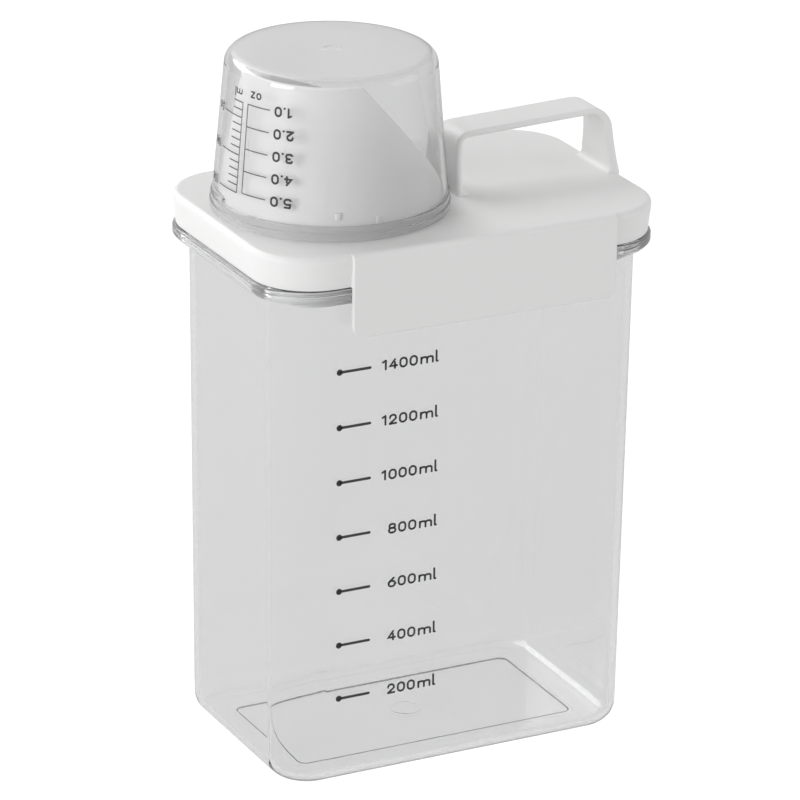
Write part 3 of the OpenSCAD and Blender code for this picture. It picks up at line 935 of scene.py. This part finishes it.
# %% Floor
FLOOR_M = 6.0
half_floor = FLOOR_M / 2
floor_mesh = bpy.data.meshes.new("studio_floor")
floor_mesh.from_pydata([(-half_floor, -half_floor, 0), (half_floor, -half_floor, 0),
                        (half_floor, half_floor, 0), (-half_floor, half_floor, 0)], [], [(0, 1, 2, 3)])
floor = bpy.data.objects.new("studio_floor", floor_mesh)
bpy.context.scene.collection.objects.link(floor)
floor.location.z = -0.0002
paper = bpy.data.materials.new("floor_paper")
paper.use_nodes = True
tree = paper.node_tree
tree.nodes.clear()
path = tree.nodes.new("ShaderNodeLightPath")
seen = maths(tree, "MAXIMUM", path.outputs["Is Camera Ray"],
             maths(tree, "MAXIMUM", path.outputs["Is Glossy Ray"], path.outputs["Is Transmission Ray"]))
plain = tree.nodes.new("ShaderNodeBsdfDiffuse")
plain.inputs["Color"].default_value = (0.8, 0.8, 0.8, 1)
soft = tree.nodes.new("ShaderNodeBsdfDiffuse")
soft.inputs["Color"].default_value = (0.4, 0.4, 0.4, 1)
glow = tree.nodes.new("ShaderNodeEmission")
dim = maths(tree, "MULTIPLY", path.outputs["Is Glossy Ray"], 0.35)
tree.links.new(maths(tree, "SUBTRACT", 0.76, dim), glow.inputs["Strength"])
both = tree.nodes.new("ShaderNodeAddShader")
tree.links.new(soft.outputs[0], both.inputs[0])
tree.links.new(glow.outputs[0], both.inputs[1])
choose = tree.nodes.new("ShaderNodeMixShader")
tree.links.new(seen, choose.inputs["Fac"])
tree.links.new(plain.outputs[0], choose.inputs[1])
tree.links.new(both.outputs[0], choose.inputs[2])
out = tree.nodes.new("ShaderNodeOutputMaterial")
tree.links.new(choose.outputs[0], out.inputs["Surface"])
floor_mesh.materials.append(paper)
print("floor", FLOOR_M, "m wide")

# %% World
world = bpy.data.worlds.new("studio")
bpy.context.scene.world = world
world.use_nodes = True
tree = world.node_tree
tree.nodes.clear()
path = tree.nodes.new("ShaderNodeLightPath")
direction = tree.nodes.new("ShaderNodeTexCoord").outputs["Generated"]
apart = tree.nodes.new("ShaderNodeSeparateXYZ")
tree.links.new(direction, apart.inputs[0])
fade = tree.nodes.new("ShaderNodeMapRange")
tree.links.new(apart.outputs["Z"], fade.inputs["Value"])
for label, value in (("From Min", 0.1), ("From Max", 0.7), ("To Min", 1.0), ("To Max", 0.6)):
    fade.inputs[label].default_value = value
through = maths(tree, "MULTIPLY", path.outputs["Is Transmission Ray"], 0.97)
strength = maths(tree, "MAXIMUM", path.outputs["Is Camera Ray"],
                 maths(tree, "MAXIMUM", through, fade.outputs[0]))
shade = tree.nodes.new("ShaderNodeBackground")
tree.links.new(strength, shade.inputs["Strength"])
out = tree.nodes.new("ShaderNodeOutputWorld")
tree.links.new(shade.outputs[0], out.inputs["Surface"])
print("world", world.name)

# %% Lamps


def softbox(name, place, aim, size, watts, glints=False):
    """A square area lamp that points at a spot. Only one with glints shows through clear plastic."""
    lamp = bpy.data.lights.new(name, "AREA")
    lamp.size = size
    lamp.energy = watts
    holder = bpy.data.objects.new(name, lamp)
    bpy.context.scene.collection.objects.link(holder)
    holder.location = place
    holder.visible_camera = False
    holder.visible_transmission = glints
    holder.rotation_euler = (Vector(aim) - Vector(place)).to_track_quat("-Z", "Y").to_euler()
    return holder


softbox("key_softbox", (-0.6, 1.45, 1.4), (0, 0, 0.12), 1.3, 15.5, glints=True)
softbox("left_softbox", (-1.6, -0.3, 0.6), (0, 0, 0.12), 0.8, 9.5)
softbox("fill_softbox", (1.8, -1.0, 0.9), (0, 0, 0.12), 1.5, 6.0)

# %% [markdown]
# ## Colours
# The Standard view shows each colour as it is written.

# %% Finish
bpy.context.scene.view_settings.view_transform = "Standard"
